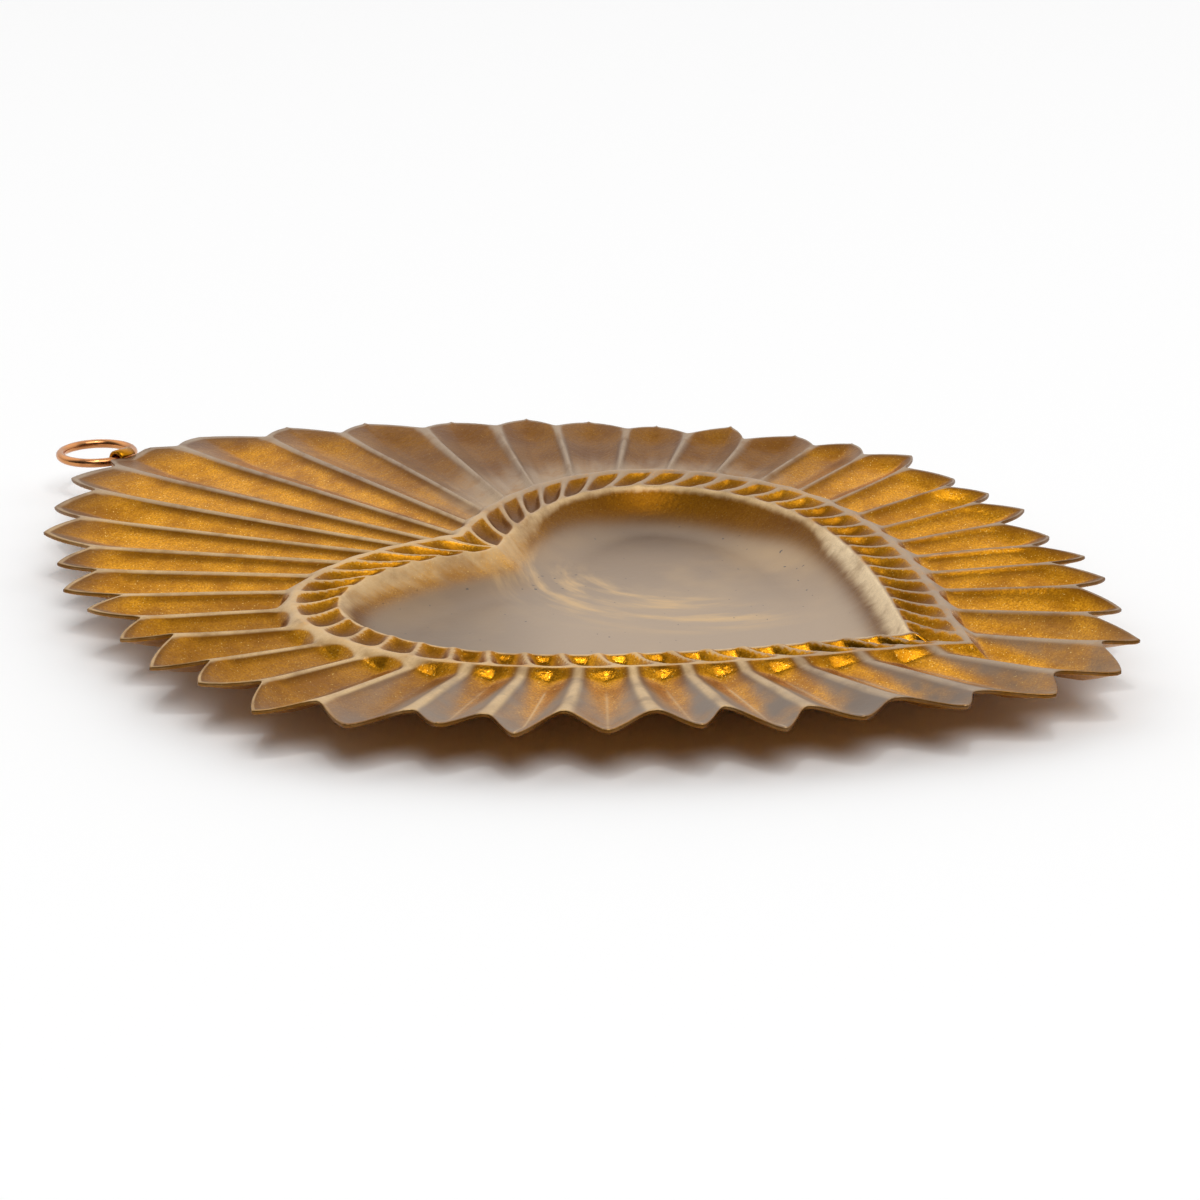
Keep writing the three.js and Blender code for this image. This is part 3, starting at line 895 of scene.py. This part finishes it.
def gold_colour(graph, place, grain, cloud):
    """Grainy, cloudy gold with flakes in it, and brown where shade is painted on it."""
    gold = graph.mix(graph.spread(grain, *GRAIN_GOLD), DEEP_GOLD, GOLD)
    gold = graph.mix(graph.spread(cloud, *CLOUD_GOLD), gold, DEEP_GOLD)
    gold = graph.mix(graph.spread(graph.noise(place, *FLAKE_NOISE), *FLAKES), gold, FLAKE)
    # Painted shade: the shade mark turns the gold brown
    return graph.mix(graph.product(graph.mark("shade"), SHADE_SHARE), gold, BROWN_GOLD)


def wax_colour(graph, cloud):
    """Cloudy tan wax, greyed by a painted sheen and paled by painted light, by its marks."""
    tan = graph.mix(graph.spread(cloud, *CLOUD_WAX), WAX, DARK_WAX)
    # Painted grey sheen on the wax, by the grey mark
    tan = graph.mix(graph.mark("grey"), tan, MAUVE_WAX)
    # Painted light on the wax along the flanks, by the cream mark
    return graph.mix(graph.mark("cream"), tan, CREAM)


def patina_colour(graph, place):
    """Brown patina, paler at the near side, deeper at the left, with a painted dark reflection at the far
    side, and strokes and specks.
    """
    across = graph.along(place, ACROSS)
    down = graph.along(place, DOWN)
    patches = graph.spread(graph.noise(place, *PATCH_NOISE), *PATINA_PATCHES)
    brown = graph.mix(patches, PATINA, PATINA_STREAK)
    pale = graph.product(graph.spread(down, *PALE_DOWN), graph.spread(across, *LEFT_ACROSS))
    brown = graph.mix(graph.product(pale, PALE_SHARE), brown, PALE_PATINA)
    brown = graph.mix(graph.spread(across, *LEFT_ACROSS, LEFT_DEPTH, 0), brown, DEEP_PATINA)
    # A painted dark reflection at the far side of the dish
    brown = graph.mix(graph.spread(down, *FAR_DOWN), brown, DEEP_PATINA)
    brown = graph.mix(strokes(graph, place), brown, PATINA_STREAK)
    return graph.mix(graph.spread(graph.noise(place, *SPECK_NOISE), *SPECKS), brown, SPECK)


def bronze_lacquer():
    """Grainy gold lacquer: tan wax rubbed on what is raised, brown patina brushed into the dish, painted
    shade and sheen.
    """
    graph = Graph(bpy.data.materials.new("bronze_lacquer"))
    place = graph.place("Object")
    grain = graph.noise(place, *GRAIN_NOISE)
    cloud = graph.noise(place, *CLOUD_NOISE)
    streaks = streaked(graph)
    wax = graph.spread(graph.moved(graph.mark("wax"), streaks, WAX_FEATHER), *WAX_COVER)
    patches = graph.spread(graph.noise(place, *WEAR_NOISE), *PATCH_WEAR)
    rubbed = graph.product(wax, graph.product(graph.spread(grain, *GRAIN_WEAR), patches))
    patina = graph.spread(graph.moved(graph.mark("patina"), streaks, PATINA_FEATHER), *PATINA_COVER)
    # A painted grey sheen on the near rays, standing in for the surroundings they reflect
    sheen = graph.product(graph.mark("sheen"), graph.spread(graph.noise(place, *SHEEN_NOISE), *SHEEN_COVER))
    sheen_colour = graph.mix(graph.mark("grey"), SHEEN_MAUVE, DARK_SHEEN)
    metal = graph.mix(sheen, gold_colour(graph, place, grain, cloud), sheen_colour)
    waxy = graph.mix(rubbed, metal, wax_colour(graph, cloud))
    graph.put("Base Color", graph.mix(patina, waxy, patina_colour(graph, place)))
    dull = graph.larger(rubbed, sheen)
    covered = graph.larger(dull, patina)
    rough = graph.spread(graph.larger(covered, graph.mark("shade")), *ROUGHNESS)
    graph.put("Metallic", graph.spread(dull, *METALLIC))
    graph.put("Roughness", graph.moved(rough, graph.mark("polish"), POLISH))
    graph.put("Coat Weight", graph.spread(patina, *COAT))
    graph.put("Coat Roughness", COAT_ROUGHNESS)
    dent_share = graph.moved(DENT_SHARE, graph.mark("polish"), POLISHED_DENTS)
    height = graph.moved(grain, graph.noise(place, *DENT_NOISE), dent_share)
    graph.put("Normal", graph.bump(height, GRAIN_HEIGHT, graph.spread(covered, *BUMP_STRENGTH)))
    return graph.owner


def copper_wire():
    """Bright copper, a little darker in clouds."""
    graph = Graph(bpy.data.materials.new("copper_wire"))
    cloud = graph.noise(graph.place("Object"), *COPPER_NOISE)
    graph.put("Base Color", graph.mix(graph.spread(cloud, *COPPER_TARNISH), COPPER, DARK_COPPER))
    graph.put("Roughness", graph.spread(cloud, *COPPER_ROUGHNESS))
    graph.put("Metallic", 1)
    return graph.owner


def dress():
    """The pieces that stand for the frame's two solids."""
    lacquer = bronze_lacquer()
    sheet_points, sheet_faces, marks = sheet_mesh()
    eye_points, eye_faces = eye_mesh()
    first = len(sheet_points)
    faces = sheet_faces + [tuple(first + i for i in face) for face in eye_faces]
    sheet = add_object("pressed_sheet", np.vstack([sheet_points, eye_points]), faces, lacquer)
    for name, values in marks.items():
        attribute = sheet.data.attributes.new(name, "FLOAT", "POINT")
        attribute.data.foreach_set("value", np.append(values, np.zeros(len(eye_points))))
    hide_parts("heart_sheet")
    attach(sheet, "sheet")
    ring = add_object("wire_ring", *ring_mesh(), copper_wire())
    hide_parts("hanging_ring")
    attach(ring, "ring")


# The view of the photograph: a level camera that looks at a point near the middle of the heart
CAMERA_AZIMUTH = math.radians(-54.994)
CAMERA_ELEVATION = math.radians(18.915)
CAMERA_DISTANCE = 0.325735
CAMERA_TARGET = Vector((-0.0129, -0.00908, 0.0059))
CAMERA_LENS = 84.845
CAMERA_CLIP = 0.01

# Floor and surroundings
FLOOR_SIZE = 8
FLOOR_WHITE = 0.98
HORIZON_LIGHT = 0.85
HORIZON_TOP = 0.32  # sine of the elevation up to which the surroundings are that light
UPPER_FROM = 0.6  # from here on they are as light as UPPER_LIGHT
UPPER_LIGHT = 1.25
UPPER_TOP = 0.85  # from here on they grow dim again
ZENITH_SHARE = 0.2
NEAR_LIGHT = 0.05  # share of the light that is left on the camera's side
NEAR_SIDE = (-0.5, 0.3)  # places along the camera's line of sight between which it grows to its full amount

# Lamps, whose turns are from the line from the camera over the object
LAMP_TURN = math.radians(-160)  # so on the camera's side, to the right
LAMP_ELEVATION = math.radians(65)
LAMP_DISTANCE = 8
LAMP_SIZE = 6
LAMP_POWER = 300
GLINT_TURN = math.radians(180)  # a small lamp nearly overhead, for glints on the bright metal
GLINT_ELEVATION = math.radians(80)
GLINT_DISTANCE = 3
GLINT_SIZE = 0.2
GLINT_POWER = 6


def add_camera():
    data = bpy.data.cameras.new("camera")
    data.lens = CAMERA_LENS
    data.clip_start = CAMERA_CLIP
    camera = bpy.data.objects.new("camera", data)
    flat = math.cos(CAMERA_ELEVATION)
    back = Vector((
        math.sin(CAMERA_AZIMUTH) * flat,
        -math.cos(CAMERA_AZIMUTH) * flat,
        math.sin(CAMERA_ELEVATION),
    ))
    camera.location = CAMERA_TARGET + back * CAMERA_DISTANCE
    camera.rotation_euler = (-back).to_track_quat("-Z", "Y").to_euler()
    bpy.context.scene.collection.objects.link(camera)
    bpy.context.scene.camera = camera


def add_floor():
    """A white floor that keeps the object's shadow."""
    half = FLOOR_SIZE / 2
    corners = [(-half, -half, 0), (half, -half, 0), (half, half, 0), (-half, half, 0)]
    mesh = bpy.data.meshes.new("floor")
    mesh.from_pydata(corners, [], [(0, 1, 2, 3)])
    floor = bpy.data.objects.new("floor", mesh)
    graph = Graph(bpy.data.materials.new("floor_white"))
    graph.put("Base Color", (FLOOR_WHITE, FLOOR_WHITE, FLOOR_WHITE, 1))
    graph.put("Roughness", 1)
    graph.put("Specular IOR Level", 0)
    mesh.materials.append(graph.owner)
    bpy.context.scene.collection.objects.link(floor)


def add_surroundings():
    """A studio that is white beyond the object, and dimmer overhead and on the camera's side."""
    graph = Graph(bpy.data.worlds.new("studio"))
    bpy.context.scene.world = graph.owner
    place = graph.place("Generated")
    up = graph.along(place, (0, 0, 1))
    beyond = graph.along(place, (-math.sin(CAMERA_AZIMUTH), math.cos(CAMERA_AZIMUTH), 0))
    height = graph.spread(up, HORIZON_TOP, UPPER_FROM, HORIZON_LIGHT, UPPER_LIGHT)
    overhead = graph.spread(up, UPPER_TOP, 1, 1, ZENITH_SHARE)
    side = graph.spread(beyond, *NEAR_SIDE, NEAR_LIGHT, 1)
    graph.put("Strength", graph.product(graph.product(height, overhead), side))
    graph.put("Color", WHITE)


def add_lamp(name, turn, elevation, distance, size, power):
    """A square lamp that points at the object, a turn away from the line from the camera over it."""
    data = bpy.data.lights.new(name, "AREA")
    data.size = size
    data.energy = power
    lamp = bpy.data.objects.new(name, data)
    flat = distance * math.cos(elevation)
    towards = CAMERA_AZIMUTH + math.pi / 2 + turn
    height = distance * math.sin(elevation)
    lamp.location = (flat * math.cos(towards), flat * math.sin(towards), height)
    lamp.rotation_euler = lamp.location.to_track_quat("Z", "Y").to_euler()
    bpy.context.scene.collection.objects.link(lamp)


dress()
add_camera()
add_floor()
add_surroundings()
add_lamp("key_lamp", LAMP_TURN, LAMP_ELEVATION, LAMP_DISTANCE, LAMP_SIZE, LAMP_POWER)
add_lamp("glint_lamp", GLINT_TURN, GLINT_ELEVATION, GLINT_DISTANCE, GLINT_SIZE, GLINT_POWER)
bpy.context.scene.view_settings.view_transform = "Standard"
